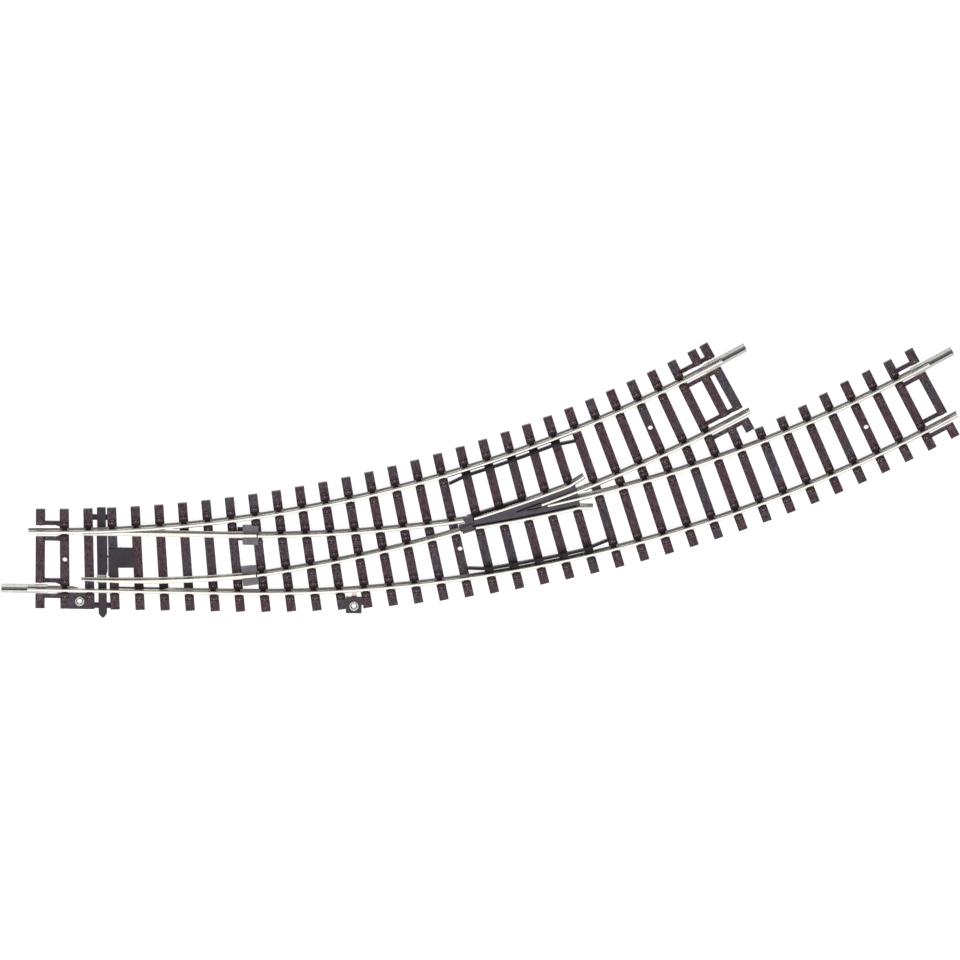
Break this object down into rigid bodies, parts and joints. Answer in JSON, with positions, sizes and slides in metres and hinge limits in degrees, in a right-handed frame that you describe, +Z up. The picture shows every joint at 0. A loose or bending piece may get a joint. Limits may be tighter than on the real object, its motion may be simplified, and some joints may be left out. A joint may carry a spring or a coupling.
{
  "type": "model railway turnout",
  "caption": "Left-hand curved model railway turnout: rails on dark sleepers, swinging point blades worked by a sliding tie bar, plastic frog and check rails.",
  "frame": {"origin": "middle of the toe end between the rails, at the underside of the sleepers", "axes": "+X along the straight start of the outer route, +Y to the inside of the curve, +Z up"},
  "size_m": [0.286, 0.0863, 0.0047],
  "materials": {
    "sleeper": "moulded, wood grain",
    "rail": "rolled nickel silver, polished head",
    "frog": "moulded, smooth",
    "check_rail": "moulded, black",
    "heel_block": "moulded, light grey",
    "dark_plastic": "moulded, smooth",
    "joiner": "folded sheet",
    "eyelet": "plated",
    "contact": "sheet",
    "pin": "turned",
    "spring": "drawn wire"
  },
  "bodies": {
    "track": {"sleeper_base": "sleeper", "inner_stock_rail": "rail", "outer_stock_rail": "rail", "closure_rail_a": "rail", "closure_rail_b": "rail", "wing_rail_upper": "rail", "wing_rail_lower": "rail", "point_rail_upper": "rail", "point_rail_lower": "rail", "frog_body": "frog", "frog_wedge": "frog", "check_rail_inner": "check_rail", "check_rail_outer": "check_rail", "heel_block_upper": "heel_block", "heel_block_lower": "heel_block", "spring_cover": "dark_plastic", "rail_joiner_toe": "joiner", "rail_joiner_inner": "joiner", "rail_joiner_outer": "joiner", "feeder_eyelet_toe": "eyelet", "feeder_eyelet_mid": "eyelet", "feeder_strip_toe": "contact", "feeder_strip_mid": "contact"},
    "tie_bar": {"tie_bar": "dark_plastic"},
    "upper_blade": {"blade_upper": "rail", "heel_pin_upper": "pin", "drive_lug_upper": "pin"},
    "lower_blade": {"blade_lower": "rail", "heel_pin_lower": "pin", "drive_lug_lower": "pin"},
    "toggle": {"toggle_spring": "spring"}
  },
  "joints": [
    {"name": "bar_slide", "type": "slide", "parent": "track", "child": "tie_bar", "axis": [0.0285, -0.9996, 0], "range_m": [0, 0.00224]},
    {"name": "upper_blade_swing", "type": "hinge", "parent": "track", "child": "upper_blade", "pos_m": [0.0667, 0.00873, 0.0022], "axis": [0, 0, 1], "range_deg": [0, 2.87]},
    {"name": "lower_blade_swing", "type": "hinge", "parent": "track", "child": "lower_blade", "pos_m": [0.0667, -0.0035, 0.0022], "axis": [0, 0, 1], "range_deg": [0, 2.87]},
    {"name": "toggle_swing", "type": "hinge", "parent": "track", "child": "toggle", "pos_m": [0.0296, 0.00042, 0.0013], "axis": [0, 0, 1], "range_deg": [0, 16.6]}
  ],
  "couplings": [
    {"joint": "upper_blade_swing", "follows": "bar_slide", "rad_per_m": 22.3},
    {"joint": "lower_blade_swing", "follows": "bar_slide", "rad_per_m": 22.3},
    {"joint": "toggle_swing", "follows": "bar_slide", "rad_per_m": 128.9}
  ]
}
